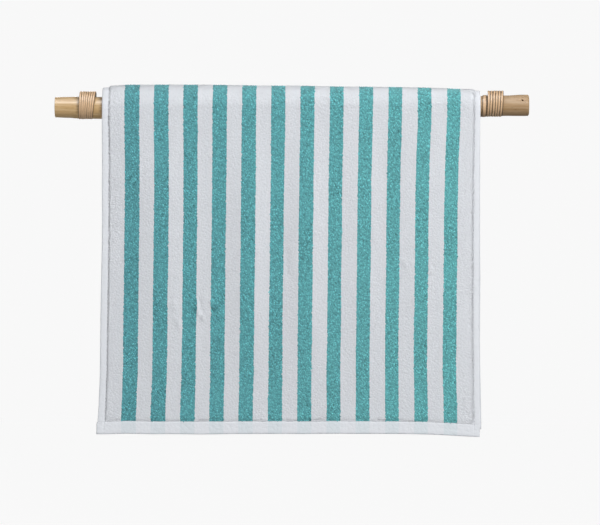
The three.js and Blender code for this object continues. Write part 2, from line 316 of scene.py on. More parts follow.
class Drape:
    """Where each point of the flat towel lies once it hangs over the rail. Across is 0 in the middle of the towel's
    width, and along is 0 at the fold, negative down the front and positive down the back."""

    def __init__(self, cut):
        self.width = cut.width
        self.length = cut.front_length
        self.skew = cut.skew
        self.lift = CLOTH_GAP + cut.pile_thickness / 2

    def middle(self, across, along):
        """The middle of the cloth's thickness."""
        x = across * math.cos(self.skew) + along * math.sin(self.skew)
        way = along * math.cos(self.skew) - across * math.sin(self.skew)
        bend = rail_radius(x) + self.lift
        quarter = math.pi / 2 * bend
        rise = rail_rise(x)
        turn = np.clip(way / bend, -math.pi / 2, math.pi / 2)
        soft = eased(FOLD_LIFTS, "x", x, "lift") * np.cos(turn) ** 2
        depth = np.maximum(np.abs(way) - quarter, 0.0)
        front = way < 0
        length = self.length
        wave = np.where(front, *[folds_out(folds, x, depth, length) for folds in (FRONT_FOLDS, BACK_FOLDS)])
        wave = wave * swell(depth, FOLD_DEPTHS) + creases_out(across, along)
        sag = by_drop(front, (FRONT_SAGS, BACK_SAGS), "x", across, "sag") * (depth / length) ** 2
        near_left = smooth(EDGE_REACH - self.width / 2 - across, 0.0, EDGE_REACH)
        near_right = smooth(EDGE_REACH - self.width / 2 + across, 0.0, EDGE_REACH)
        left = by_drop(front, (FRONT_EDGES, BACK_EDGES), "depth", depth, "left")
        right = by_drop(front, (FRONT_EDGES, BACK_EDGES), "depth", depth, "right")
        shift = (right * near_right - left * near_left) * (depth > 0)
        shift = shift + eased(FRONT_PULLS, "x", across, "pull") * (swell(depth, PULL_DEPTHS) * front)
        return np.stack([
            x + shift,
            bend * np.sin(turn) + np.where(front, -wave, wave) * (depth > 0),
            rise + bend * np.cos(turn) + soft - depth - sag,
        ], axis=-1)

    def facing(self, across, along):
        """The direction out of the cloth's outer face."""
        step = 0.5 * MM
        rightward = self.middle(across + step, along) - self.middle(across - step, along)
        backward = self.middle(across, along + step) - self.middle(across, along - step)
        out = np.cross(rightward, backward)
        return out / np.linalg.norm(out, axis=-1, keepdims=True)

    def point(self, across, along, height):
        """A point that stands a height out of the cloth's middle."""
        return self.middle(across, along) + self.facing(across, along) * np.asarray(height)[..., None]


def node(tree, kind, *values, out="", **named):
    """Adds a node. Its kind is a shader node's unless it says otherwise, and its operation is the kind's second word.
    Names in small letters are its own settings. Values go to its sockets in order, and names with a capital to the
    sockets in use of that name, as a link where they are another node's output. Returns its first output in use, or
    the one that out names."""
    kind, *operation = kind.split()
    made = tree.nodes.new(kind if "Node" in kind else "ShaderNode" + kind)
    if operation:
        made.operation = operation[0]
    sockets = dict(enumerate(values))
    for name, value in named.items():
        if name[0].isupper():
            sockets[name.replace("_", " ")] = value
        else:
            setattr(made, name, value)
    for key, value in sockets.items():
        socket = made.inputs[key] if isinstance(key, int) else next(
            each for each in made.inputs if each.enabled and each.name == key)
        if isinstance(value, bpy.types.NodeSocket):
            tree.links.new(value, socket)
        else:
            socket.default_value = value
    return made.outputs[out] if out else next((each for each in made.outputs if each.enabled), None)


def with_nodes(owner):
    """A new material or world with an empty node tree, and what adds a node to that."""
    owner.use_nodes = True
    owner.node_tree.nodes.clear()
    return owner, partial(node, owner.node_tree)


def new_object(name, data):
    """An object at the origin, in the scene."""
    made = bpy.data.objects.new(name, data)
    bpy.context.scene.collection.objects.link(made)
    return made


def new_piece(name, points, faces, material=None, smooth_faces=True):
    """A mesh object at the origin, with its place in its mesh."""
    mesh = bpy.data.meshes.new(name)
    mesh.from_pydata(np.asarray(points, float).reshape(-1, 3).tolist(), [], faces)
    if smooth_faces:
        mesh.shade_smooth()
    if material:
        mesh.materials.append(material)
    mesh.update()
    return new_object(name, mesh)


def keep(piece, **attributes):
    """Stores numbers or vectors, one for each of the piece's points."""
    for name, values in attributes.items():
        values = np.asarray(values, np.float32)
        kind, field = ("FLOAT_VECTOR", "vector") if values.ndim == 2 else ("FLOAT", "value")
        piece.data.attributes.new(name, kind, "POINT").data.foreach_set(field, values.ravel())


def applied(piece, modifier):
    """The piece's mesh as its modifier makes it, once the modifier is off again."""
    graph = bpy.context.evaluated_depsgraph_get()
    mesh = bpy.data.meshes.new_from_object(piece.evaluated_get(graph))
    piece.modifiers.remove(modifier)
    return mesh


def grown(piece, tree, values, name):
    """Runs a Geometry Nodes tree on a piece, and returns the result as a plain piece in its place."""
    modifier = piece.modifiers.new(tree.name, "NODES")
    modifier.node_group = tree
    for item in tree.interface.items_tree:
        if item.item_type == "SOCKET" and item.in_out == "INPUT" and item.name in values:
            modifier[item.identifier] = values[item.name]
    mesh = applied(piece, modifier)
    bpy.data.objects.remove(piece)
    mesh.name = name
    return new_object(name, mesh)


def new_growth(name, inputs):
    """A Geometry Nodes tree with named inputs, what adds a node to it, and the sockets that give the inputs."""
    tree = bpy.data.node_groups.new(name, "GeometryNodeTree")
    tree.interface.new_socket("Geometry", in_out="INPUT", socket_type="NodeSocketGeometry")
    for label, kind in inputs.items():
        tree.interface.new_socket(label, in_out="INPUT", socket_type="NodeSocket" + kind)
    tree.interface.new_socket("Geometry", in_out="OUTPUT", socket_type="NodeSocketGeometry")
    return tree, partial(node, tree), node(tree, "NodeGroupInput").node.outputs


def finish_growth(add, given, planted, *spent):
    """Makes what was planted real, without the attributes that are spent, and gives it its material."""
    real = add("GeometryNodeRealizeInstances", planted)
    for name in spent:
        real = add("GeometryNodeRemoveAttribute", Geometry=real, Name=name)
    real = add("GeometryNodeSetShadeSmooth", Geometry=real)
    add("NodeGroupOutput", add("GeometryNodeSetMaterial", Geometry=real, Material=given["Material"]))


def terry_material(cut):
    """Terry: undyed and dyed cotton loops on a cotton ground. Cotton loops scatter light in all directions, so the
    cloth is matt with a faint bloom of fibre ends at its edges. The dye is in the yarn, so each loop has one colour
    and the stripes run along the warp, the same on both faces. The hems are flat woven cotton, where the stripes'
    yarns only glimmer through the white weft."""
    material, add = with_nodes(bpy.data.materials.new("cotton terry"))
    flat = add("Attribute", out="Vector", attribute_name="flat")
    shade = add("Attribute", out="Fac", attribute_name="shade")
    x = add("SeparateXYZ", flat)
    y = x.node.outputs["Y"]
    # The yarns waver by under a millimetre, so no stripe has a ruled edge
    waver = add("TexNoise", Vector=flat, Scale=14.0, Detail=2.0)
    waver = add("Math ADD", waver, -0.5)
    across = add("Math MULTIPLY_ADD", waver, 2.0 * MM, x)
    start = cut.width / 2 - cut.first_stripe
    pitches = add("Math ADD", across, start)
    pitches = add("Math DIVIDE", pitches, cut.stripe_pitch)
    part = add("Math FRACT", pitches)
    # They are a tenth wider at the left side than at the right
    share = cut.stripe_width / cut.stripe_pitch
    share = add("Math MULTIPLY_ADD", x, -0.16 * share, share)
    striped = add("Math LESS_THAN", part, share)
    first = add("Math GREATER_THAN", pitches, 0.0)
    last = add("Math LESS_THAN", pitches, float(cut.stripes))
    inside = add("Math MULTIPLY", first, last)
    striped = add("Math MULTIPLY", striped, inside)
    # In the end hems only a tenth of the stripes' colour comes through the weft
    far = add("Math ABSOLUTE", y)
    back = add("Math GREATER_THAN", y, 0.0)
    reach = add("Math MULTIPLY_ADD", back, cut.back_length - cut.front_length, cut.front_length - cut.end_hem)
    hem = add("Math GREATER_THAN", far, reach)
    ghost = add("Math MULTIPLY_ADD", hem, -0.91, 1.0)
    striped = add("Math MULTIPLY", striped, ghost)
    # The teal is painted darker towards the left, as painted shade on the side away from the light
    paler = add("MapRange", Value=x, From_Min=-cut.width / 2, From_Max=cut.width / 2)
    dyed = add("Mix", Factor=paler, A=cut.shaded_teal, B=cut.teal, data_type="RGBA")
    colour = add("Mix", Factor=striped, A=cut.white, B=dyed, data_type="RGBA")
    # Each loop is a little lighter or darker, most in the dyed yarn, and more in some patches, a hand's width apart,
    # than in others
    rough = add("TexNoise", Vector=flat, Scale=13.0, Detail=1.0)
    rough = add("MapRange", Value=rough, From_Min=0.3, From_Max=0.7, To_Min=0.8, To_Max=1.2)
    swing = add("Math MULTIPLY_ADD", striped, 1.0, 0.03)
    swing = add("Math MULTIPLY", swing, rough)
    # Neighbouring loops lean the same way, in slanting tufts 2.5 mm across and 6.5 mm long
    tufts = add("Mapping", Vector=flat, Rotation=(0.0, 0.0, 0.6), Scale=(2.5 * MM, 6.5 * MM, 1.0),
                vector_type="TEXTURE")
    tufts = add("TexNoise", Vector=tufts, Scale=1.0, Detail=1.0)
    # One patch of the front, low on the left, is combed into longer streaks
    apart = add("VectorMath DISTANCE", flat, (-136 * MM, -408 * MM, 0.0))
    combed = add("MapRange", Value=apart, From_Min=35 * MM, From_Max=85 * MM, To_Min=1.0, To_Max=0.0)
    streaks = add("Mapping", Vector=flat, Rotation=(0.0, 0.0, 0.65), Scale=(2.2 * MM, 16 * MM, 1.0),
                  vector_type="TEXTURE")
    streaks = add("TexNoise", Vector=streaks, Scale=1.0, Detail=1.0)
    streaks = add("Math MULTIPLY_ADD", streaks, 1.7, -0.35)
    tufts = add("Mix", Factor=combed, A=tufts, B=streaks)
    # A loop's shade value lightens or darkens it at random, and the ground's low value paints shade between the loops
    tone = add("Math MULTIPLY_ADD", shade, 0.7, -0.85)
    tone = add("Math ADD", tufts, tone)
    tone = add("Math MULTIPLY_ADD", tone, swing, 1.0)
    # The hems' plain weave is smooth, so it looks a little paler than the pile, which shades itself
    pile = add("Attribute", out="Fac", attribute_name="pile")
    plain = add("Math MULTIPLY_ADD", pile, -0.03, 1.03)
    tone = add("Math MULTIPLY", tone, plain)
    colour = add("VectorMath SCALE", colour, Scale=tone)
    # Weft ribs 0.5 mm apart on the real hems, drawn 2.2 mm apart so that they show
    ribs = add("Math MULTIPLY", y, 2 * math.pi / (2.2 * MM))
    ribs = add("Math SINE", ribs)
    yarns = add("TexNoise", Vector=flat, Scale=900.0, Detail=2.0)
    weave = add("Math MULTIPLY_ADD", ribs, 0.3, yarns)
    # Light scatters from fibre to fibre through the pile, which evens out each loop's own light and dark side, and
    # more so in undyed cotton: the normal leans from the loop's own towards the cloth's
    own = add("NewGeometry", out="Normal")
    cloth = add("Attribute", out="Vector", attribute_name="facing")
    even = add("Math MULTIPLY_ADD", striped, -0.65, 0.96)
    even = add("Math MULTIPLY", even, pile)
    soft = add("Mix", Factor=even, A=own, B=cloth, data_type="VECTOR")
    soft = add("VectorMath NORMALIZE", soft)
    bump = add("Bump", Strength=0.25, Distance=0.4 * MM, Height=weave, Normal=soft)
    # The stitches pucker the hems into dents some 6 mm across
    dents = add("TexNoise", Vector=flat, Scale=160.0, Detail=1.0)
    drawn = add("Math MULTIPLY_ADD", pile, -0.5, 0.5)
    bump = add("Bump", Strength=drawn, Distance=1.6 * MM, Height=dents, Normal=bump)
    # The ground under the loops, and the inner faces, are rough with loops of the same size
    loops = add("TexVoronoi", Vector=flat, Scale=1.0 / cut.loop_spacing)
    loops = add("Math MULTIPLY", loops, -1.0)
    relief = add("Math MULTIPLY", pile, 0.42)
    bump = add("Bump", Strength=relief, Distance=2.4 * MM, Height=loops, Normal=bump)
    add("OutputMaterial", add("BsdfPrincipled", Base_Color=colour, Roughness=0.95, IOR=1.5, Specular_IOR_Level=0.15,
                              Sheen_Weight=0.25, Sheen_Roughness=0.55, Normal=bump))
    return material


def thread_material():
    """Cotton sewing thread: grey-white and matt, and painted darker than the towel as painted shade where it sinks
    into its groove.
    """
    material, add = with_nodes(bpy.data.materials.new("cotton sewing thread"))
    place = add("TexCoord", out="Object")
    twist = add("TexNoise", Vector=place, Scale=1500.0, Detail=1.0)
    # The stitches' shade value sets how much painted shade darkens the thread
    painted_seam_shade = add("Attribute", out="Fac", attribute_name="shade")
    painted_seam_shade = add("Math MULTIPLY_ADD", twist, 0.5, painted_seam_shade, use_clamp=True)
    colour = add("Mix", Factor=painted_seam_shade, A=linear("dfe1e7"), B=linear("8f929e"), data_type="RGBA")
    bump = add("Bump", Strength=0.4, Distance=0.2 * MM, Height=twist)
    add("OutputMaterial", add("BsdfPrincipled", Base_Color=colour, Roughness=0.8, IOR=1.5, Specular_IOR_Level=0.2,
                              Normal=bump))
    return material


def wood_material(looks):
    """Peeled and sanded pole of pale hardwood under thin wax: a satin skin, with long fine grain along it and a few
    dark flecks. It is greener at its left end and pinker at its right."""
    material, add = with_nodes(bpy.data.materials.new("waxed pale hardwood"))
    place = add("TexCoord", out="Object")
    # Grain lines about 1.5 mm wide and some 90 mm long
    drawn = add("Mapping", Vector=place, Scale=(11.0, 420.0, 420.0))
    grain = add("TexNoise", Vector=drawn, Scale=1.0, Detail=5.0, Roughness=0.62, Distortion=0.5)
    cloud = add("Mapping", Vector=place, Scale=(14.0, 60.0, 60.0))
    cloud = add("TexNoise", Vector=cloud, Scale=1.0, Detail=3.0)
    lines = add("MapRange", Value=grain, From_Min=0.36, From_Max=0.64, interpolation_type="SMOOTHSTEP")
    lines = add("Math MULTIPLY_ADD", lines, 0.6, 0.0)
    lines = add("Math MULTIPLY_ADD", cloud, 0.55, lines, use_clamp=True)
    colour = add("Mix", Factor=lines, A=looks.pale_wood, B=looks.dark_wood, data_type="RGBA")
    along = add("SeparateXYZ", place, out="X")
    right = add("MapRange", Value=along, From_Min=-0.2, From_Max=0.25)
    tint = add("Mix", Factor=right, A=linear("f8f6ee"), B=linear("d6d2d3"), data_type="RGBA")
    colour = add("Mix", Factor=1.0, A=colour, B=tint, data_type="RGBA", blend_type="MULTIPLY")
    flecks = add("Mapping", Vector=place, Scale=(60.0, 220.0, 220.0))
    flecks = add("TexVoronoi", Vector=flecks, Scale=1.0)
    flecks = add("MapRange", Value=flecks, From_Min=0.03, From_Max=0.16, To_Min=0.55, To_Max=1.0)
    colour = add("VectorMath SCALE", colour, Scale=flecks)
    bump = add("Bump", Strength=0.25, Distance=0.3 * MM, Height=grain)
    # The wax has worn off towards the right end
    gloss = add("Math MULTIPLY_ADD", right, 0.12, 0.33)
    gloss = add("Math MULTIPLY_ADD", grain, 0.2, gloss)
    add("OutputMaterial", add("BsdfPrincipled", Base_Color=colour, Roughness=gloss, IOR=1.5, Specular_IOR_Level=0.45,
                              Normal=bump))
    return material


def cane_material(looks):
    """Split cane: the plant's own hard skin, smooth and satin, with fine fibres along the strip. Its colour is painted
    a little paler on the crown of each turn, as painted light, and brown towards the gaps between turns, on the strip's
    underside and on the sleeve beneath, as painted shade."""
    material, add = with_nodes(bpy.data.materials.new("split cane"))
    strip = add("Attribute", out="Vector", attribute_name="strip")
    # Fibres 0.4 mm apart on the real cane, drawn 0.8 mm apart so that they show
    drawn = add("Mapping", Vector=strip, Scale=(30.0, 1250.0, 1.0))
    fibre = add("TexNoise", Vector=drawn, Scale=1.0, Detail=3.0)
    patch = add("TexNoise", Vector=strip, Scale=45.0, Detail=2.0)
    mixed = add("Math MULTIPLY_ADD", fibre, 0.55, -0.05)
    mixed = add("Math MULTIPLY_ADD", patch, 0.5, mixed, use_clamp=True)
    colour = add("Mix", Factor=mixed, A=looks.cane, B=linear("b28b63"), data_type="RGBA")
    # Painted shade and light: darker brown towards each turn's edges, underside and the sleeve, paler on the crown
    edge = add("SeparateXYZ", strip, out="Z")
    dark = add("MapRange", Value=edge, From_Min=0.5, From_Max=1.0, To_Min=1.04, To_Max=0.2)
    colour = add("VectorMath SCALE", colour, Scale=dark)
    bump = add("Bump", Strength=0.3, Distance=0.2 * MM, Height=fibre)
    add("OutputMaterial", add("BsdfPrincipled", Base_Color=colour, Roughness=0.42, IOR=1.5, Specular_IOR_Level=0.45,
                              Normal=bump))
    return material


def floor_material(colour):
    """Matt painted studio floor, with the faint unevenness of rolled paint. It glows a little, so that it is as pale
    far off as it is near the lights."""
    material, add = with_nodes(bpy.data.materials.new("matt studio paint"))
    place = add("TexCoord", out="Object")
    rolled = add("TexNoise", Vector=place, Scale=60.0, Detail=2.0)
    bump = add("Bump", Strength=0.05, Distance=0.5 * MM, Height=rolled)
    add("OutputMaterial", add("BsdfPrincipled", Base_Color=colour, Roughness=0.9, Specular_IOR_Level=0.1,
                              Emission_Color=colour, Emission_Strength=FLOOR_GLOW, Normal=bump))
    return material


def ring_faces(rings, sides):
    """Quads between closed rings of points, with flat caps at both ends."""
    ring, side = np.meshgrid(np.arange(rings - 1), np.arange(sides), indexing="ij")
    here, after = ring * sides + side, ring * sides + (side + 1) % sides
    quads = np.stack([here, after, after + sides, here + sides], axis=-1).reshape(-1, 4).tolist()
    return quads + [list(range(sides))[::-1], list(range((rings - 1) * sides, rings * sides))]


def face_outwards(piece, merge=True):
    """Turns a closed mesh's faces outwards, once its doubled points are merged."""
    shape = bmesh.new()
    shape.from_mesh(piece.data)
    if merge:
        bmesh.ops.remove_doubles(shape, verts=shape.verts, dist=0.001 * MM)
    bmesh.ops.recalc_face_normals(shape, faces=shape.faces)
    shape.to_mesh(piece.data)
    shape.free()
    piece.data.update()


def settle(piece, slot_name, *nodes_replaced):
    """Hangs the piece on the frame's body and hides the nodes that it stands for. Its slot name is not used."""
    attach(piece, BODY)
    if nodes_replaced:
        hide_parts(*nodes_replaced)


class TOWEL_OT_rail(bpy.types.Operator):
    """Builds the wooden rail with its chamfered ends and its drilled hole"""

    bl_idname = "towel.build_rail"
    bl_label = "Rail"

    def execute(self, context):
        looks = context.scene.towel_rail
        low, high = RAIL_SECTIONS["x"][0] + looks.left_cut, RAIL_SECTIONS["x"][-1]
        start, end = looks.left_chamfer, looks.right_chamfer
        bevel = [(0.0, 1.0), (0.3, 0.45), (0.65, 0.12), (1.0, 0.0)]
        xs = [low + start * part for part, _ in bevel]
        cuts = [start * cut for _, cut in bevel]
        inner = np.linspace(low + start, high - end, POLE_RINGS)[1:-1]
        xs += list(inner) + [high - end * part for part, _ in reversed(bevel)]
        cuts += [0.0] * len(inner) + [end * cut for _, cut in reversed(bevel)]
        xs, cuts = np.array(xs), np.array(cuts)
        turn = circle(POLE_SIDES)
        x, angle = np.meshgrid(xs, turn, indexing="ij")
        # A peeled pole is never a true cylinder: shallow flats wander round it
        flats = 0.10 * MM * np.sin(2 * angle + 9 * x) + 0.07 * MM * np.sin(3 * angle - 17 * x + 1.0)
        radius = rail_radius(x) + flats - cuts[:, None]
        points = np.stack([x, radius * np.sin(angle), rail_rise(x) + radius * np.cos(angle)], axis=-1)
        rail = new_piece("rail_pole", points, ring_faces(len(xs), len(turn)), wood_material(looks))
        face_outwards(rail)
        rail.data.shade_smooth()
        self.drill(rail, looks, high)
        settle(rail, "rail_wood", "rail")
        return {"FINISHED"}

    def drill(self, rail, looks, high):
        """Cuts the small hole, which slants in near the right end on the side that faces the camera."""
        x, tilt, deep = high - 12.5 * MM, math.radians(27), 14 * MM
        radius = rail_radius(np.array([x]))[0]
        mouth = Vector((x, -radius * math.cos(tilt), rail_rise(np.array([x]))[0] + radius * math.sin(tilt)))
        way = Vector((0.0, -math.cos(tilt), math.sin(tilt)))
        side = Vector((1.0, 0.0, 0.0))
        up = way.cross(side)
        rings = []
        for step in (4 * MM, 0.0, -deep):
            for turn in circle(HOLE_SIDES):
                # The drill wandered, so the mouth is longer on one slant than on the other
                wide = looks.hole_width / 2 * (1.0 + 0.28 * math.cos(2 * (turn - 0.75 * math.pi)))
                rings.append(mouth + way * step + (side * math.cos(turn) + up * math.sin(turn)) * wide)
        bit = new_piece("bit", [tuple(p) for p in rings], ring_faces(3, HOLE_SIDES), smooth_faces=False)
        face_outwards(bit)
        cut = rail.modifiers.new("hole", "BOOLEAN")
        cut.operation, cut.object, cut.solver = "DIFFERENCE", bit, "EXACT"
        rail.data = applied(rail, cut)
        rail.data.shade_smooth()
        rail.data.set_sharp_from_angle(angle=math.radians(40))
        bpy.data.objects.remove(bit)


class TOWEL_OT_collars(bpy.types.Operator):
    """Winds the two cane collars round the rail"""

    bl_idname = "towel.build_collars"
    bl_label = "Cane collars"

    def execute(self, context):
        looks = context.scene.towel_rail
        cane = cane_material(looks)
        for name, wound in COLLARS.items():
            collar = self.wind(name, wound, looks, cane)
            settle(collar, "cane", name)
        return {"FINISHED"}

    def wind(self, name, wound, looks, cane):
        """One collar: a core sleeve, and over it one strip of cane in close turns."""
        chance = np.random.default_rng(wound["seed"])
        middle, width, turns = wound["x"], wound["width"], wound["turns"]
        at = np.array([middle])
        under, rise = rail_radius(at)[0] + 0.9 * MM, rail_rise(at)[0]
        outer, lift = (wound["top"] + under) / 2, (wound["top"] - under) / 2
        wide, thick = looks.cane_width, looks.cane_thickness
        pitch = (width - wide) / (turns - 0.5)
        points, faces, strip = [], [], []

        # The strip starts behind the rail, where the first turn may climb from the bare wood
        steps = int((turns + wound["climb"]) * TURN_STEPS)
        angle = np.linspace(-2 * math.pi * wound["climb"], 2 * math.pi * turns, steps)
        turn = angle + STRIP_START
        count = int(turns) + 4
        wobble = np.interp(angle / (2 * math.pi) + 1, np.arange(count), chance.normal(0, 1, count)) * STRAY
        place = angle / (2 * math.pi * turns)
        x = middle - width / 2 + wide / 2 + pitch * (angle / (2 * math.pi) - 0.25) + 1.6 * wobble
        x += np.clip(place, 0, 1) * wound["slant"] * outer * np.cos(turn)
        # Both ends tuck in under the turns beside them
        tuck = smooth(angle, angle[-1] - 0.5, angle[-1]) + 1.0 - smooth(angle, angle[0], angle[0] + 0.5)
        reach = outer - thick / 2 + wobble - TUCK * tuck
        risen = smooth(angle, -2.7, -0.1)
        # The strip's tail is flat and broad on the bare wood
        x -= 2.6 * MM * (1.0 - risen)
        broad, deep = wide * (1.75 - 0.75 * risen), thick * (0.5 + 0.5 * risen)
        reach = rail_radius(x) + deep / 2 + (reach - rail_radius(x) - deep / 2) * risen
        raised = rise + lift * risen
        across = circle(STRIP_SIDES)
        flat = np.sign(np.sin(across)) * np.abs(np.sin(across)) ** 0.9
        for i in range(steps):
            out = reach[i] + deep[i] / 2 * flat
            side = x[i] + broad[i] / 2 * np.cos(across)
            points.append(np.stack([side, out * math.sin(turn[i]), raised[i] + out * math.cos(turn[i])], axis=-1))
            # The strip's edges and underside get the painted shade between the turns, as strong as the collar's gaps
            # value sets
            edge = np.where(flat > -0.2, np.abs(np.cos(across)), 1.0) * wound["gaps"]
            strip.append(np.stack([np.full(STRIP_SIDES, outer * angle[i]), wide / 2 * np.cos(across), edge], axis=-1))
        faces += ring_faces(steps, STRIP_SIDES)

        # The sleeve under the turns
        first = steps * STRIP_SIDES
        ends = [(-0.5, 2.6), (-0.5, 1.5), (-0.46, 1.15), (0.46, 1.15), (0.5, 1.5), (0.5, 2.6)]
        round_about = circle(TURN_STEPS)
        for share, sunk in ends:
            out = outer - sunk * MM
            at = middle + share * (width - 2.4 * MM) + (share + 0.5) * wound["slant"] * outer * np.cos(round_about)
            points.append(np.stack([at, out * np.sin(round_about), rise + lift + out * np.cos(round_about)], axis=-1))
            # The sleeve's strip values give it the darkest painted shade, under the turns
            strip.append(np.stack(
                [outer * round_about, np.full(TURN_STEPS, share * width), np.ones(TURN_STEPS)], axis=-1))
        faces += [[first + corner for corner in face] for face in ring_faces(len(ends), TURN_STEPS)]
        collar = new_piece(name + "_winding", np.concatenate(points), faces, cane)
        keep(collar, strip=np.concatenate(strip))
        face_outwards(collar, merge=False)
        return collar


def hem_steps(hem, *between):
    """Distances in from an edge where the sheet has points: close at the rolled edge and at the seam."""
    return np.concatenate([ROLL_STEPS, between, hem + SEAM_STEPS])


def spread(low, high, near_low, near_high, gap):
    """Points from low to high: the near ones in from each end, and even ones between."""
    start, end = low + near_low[-1], high - near_high[-1]
    inner = np.linspace(start, end, int(round((end - start) / gap)) + 1)
    return np.concatenate([low + near_low, inner[1:-1], high - near_high[::-1]])


def from_side(cut, across):
    """How far in from the side edge a place is. On the left, where the hem is wider, it is measured in right hems."""
    return (cut.width / 2 - np.abs(across)) * np.where(across < 0, cut.side_hem / cut.left_hem, 1.0)


def from_end(cut, along):
    """How far in from the end of its drop a place is."""
    return np.where(along < 0, cut.front_length, cut.back_length) - np.abs(along)


def half_thickness(cut, across, along, full):
    """Half of the sheet's thickness: thin in the hems, rolled at the edges and drawn in along the seams."""
    side, end = from_side(cut, across), from_end(cut, along)
    nearest = np.minimum(side, end)
    near = np.where(across < 0, 2.2 * MM, 3.6 * MM)
    ground = smooth(side, cut.side_hem, cut.side_hem + near) * smooth(end, cut.end_hem, cut.end_hem + 6 * MM)
    half = cut.hem_thickness / 2 + (full - cut.hem_thickness) / 2 * ground
    seams = [np.exp(-((inwards - hem + SEAM_INSET) / SEAM_WIDTH) ** 2)
             for inwards, hem in ((side, cut.side_hem), (end, cut.end_hem))]
    half = half - SEAM_DEPTH * np.maximum(*seams) * (nearest > 2 * MM)
    roll = np.clip(1.0 - nearest / (1.8 * MM), 0.0, 0.97)
    return half * np.sqrt(1.0 - roll ** 2)


class TOWEL_OT_cloth(bpy.types.Operator):
    """Drapes the towel's ground cloth, with its flat hems, over the rail"""

    bl_idname = "towel.build_cloth"
    bl_label = "Ground cloth and hems"

    def execute(self, context):
        cut = context.scene.towel_cut
        drape = Drape(cut)
        sides = spread(-cut.width / 2, cut.width / 2, hem_steps(cut.left_hem), hem_steps(cut.side_hem), SHEET_GAPS[0])
        ends = hem_steps(cut.end_hem, 10 * MM, 15 * MM, cut.end_hem - 5 * MM)
        ways = spread(-cut.front_length, cut.back_length, ends, ends, SHEET_GAPS[1])
        along, across = np.meshgrid(ways, sides, indexing="ij")
        half = half_thickness(cut, across, along, cut.ground_thickness)
        outer = drape.point(across, along, half)
        # The inner face has no loops of its own, so it is as thick as their tips would reach
        inner = drape.point(across, along, -half_thickness(cut, across, along, INNER_SHARE * cut.pile_thickness))
        rows, wide = across.shape
        count = rows * wide
        row, column = np.meshgrid(np.arange(rows - 1), np.arange(wide - 1), indexing="ij")
        corner = (row * wide + column).ravel()
        top = np.stack([corner, corner + 1, corner + wide + 1, corner + wide], axis=-1)
        under = top[:, ::-1] + count
        edge = np.concatenate([
            np.arange(wide - 1), np.arange(rows - 1) * wide + wide - 1,
            count - 1 - np.arange(wide - 1), (rows - 1 - np.arange(rows - 1)) * wide, [0]])
        rim = np.stack([edge[1:], edge[:-1], edge[:-1] + count, edge[1:] + count], axis=-1)
        faces = np.concatenate([top, under, rim]).tolist()
        cloth = new_piece("towel_cloth", np.concatenate([outer.reshape(-1, 3), inner.reshape(-1, 3)]), faces,
                          bpy.data.materials["cotton terry"])
        flat = np.stack([across, along, np.zeros_like(across)], axis=-1).reshape(-1, 3)
        side, end = from_side(cut, across), from_end(cut, along)
        pile = smooth(side, cut.side_hem - 0.5 * MM, cut.side_hem + 1.5 * MM)
        pile = (pile * smooth(end, cut.end_hem - 0.5 * MM, cut.end_hem + 1.5 * MM)).ravel()
        facing = drape.facing(across, along).reshape(-1, 3)
        # The ground under the pile gets a low shade value, as painted shade between the loops
        shade = np.concatenate([0.5 - 0.35 * pile, np.full(pile.size, 0.5)])
        keep(cloth, flat=np.concatenate([flat, flat]), shade=shade, pile=np.concatenate([pile, pile]),
             facing=np.concatenate([facing, -facing]))
        face_outwards(cloth)
        settle(cloth, "terry", "towel")
        return {"FINISHED"}


def loop_growth():
    """Geometry Nodes that put one terry loop on each point of a mesh, leaning at random. Loops are made of warp yarn,
    so they lie within 45 degrees of the towel's length."""
    tree, add, given = new_growth("terry loops", {
        "Loop Length": "Float", "Loop Width": "Float", "Loop Height": "Float", "Lean": "Float", "Seed": "Int",
        "Material": "Material"})
    ball = add("GeometryNodeMeshUVSphere", Segments=4, Rings=2, Radius=0.5)
    size = add("CombineXYZ", given["Loop Length"], given["Loop Width"], given["Loop Height"])
    loop = add("GeometryNodeTransform", Geometry=ball, Scale=size)
    # The loop's feet bend down into the cloth
    place = add("GeometryNodeInputPosition")
    length = add("VectorMath MULTIPLY", place, (1.0, 0.0, 0.0))
    away = add("VectorMath LENGTH", length)
    drop = add("Math MULTIPLY", away, -0.5)
    drop = add("CombineXYZ", Z=drop)
    loop = add("GeometryNodeSetPosition", Geometry=loop, Offset=drop)

    facing = add("GeometryNodeInputNamedAttribute", Name="facing", data_type="FLOAT_VECTOR")
    upright = add("FunctionNodeAlignRotationToVector", Vector=facing, axis="Z")
    seed = given["Seed"]
    least = add("Math MULTIPLY", given["Lean"], -1.0)
    low = add("CombineXYZ", least, least, 0.27 * math.pi)
    high = add("CombineXYZ", given["Lean"], given["Lean"], 0.73 * math.pi)
    chance = add("FunctionNodeRandomValue", low, high, Seed=seed, data_type="FLOAT_VECTOR")
    chance = add("FunctionNodeEulerToRotation", chance)
    turned = add("FunctionNodeRotateRotation", upright, chance, rotation_space="LOCAL")
    other = add("Math ADD", seed, 1.0)
    sized = add("FunctionNodeRandomValue", (0.78, 0.8, 0.8), (1.3, 1.2, 1.15), Seed=other, data_type="FLOAT_VECTOR")
    planted = add("GeometryNodeInstanceOnPoints", Points=given["Geometry"], Instance=loop, Rotation=turned, Scale=sized)
    finish_growth(add, given, planted)
    return tree


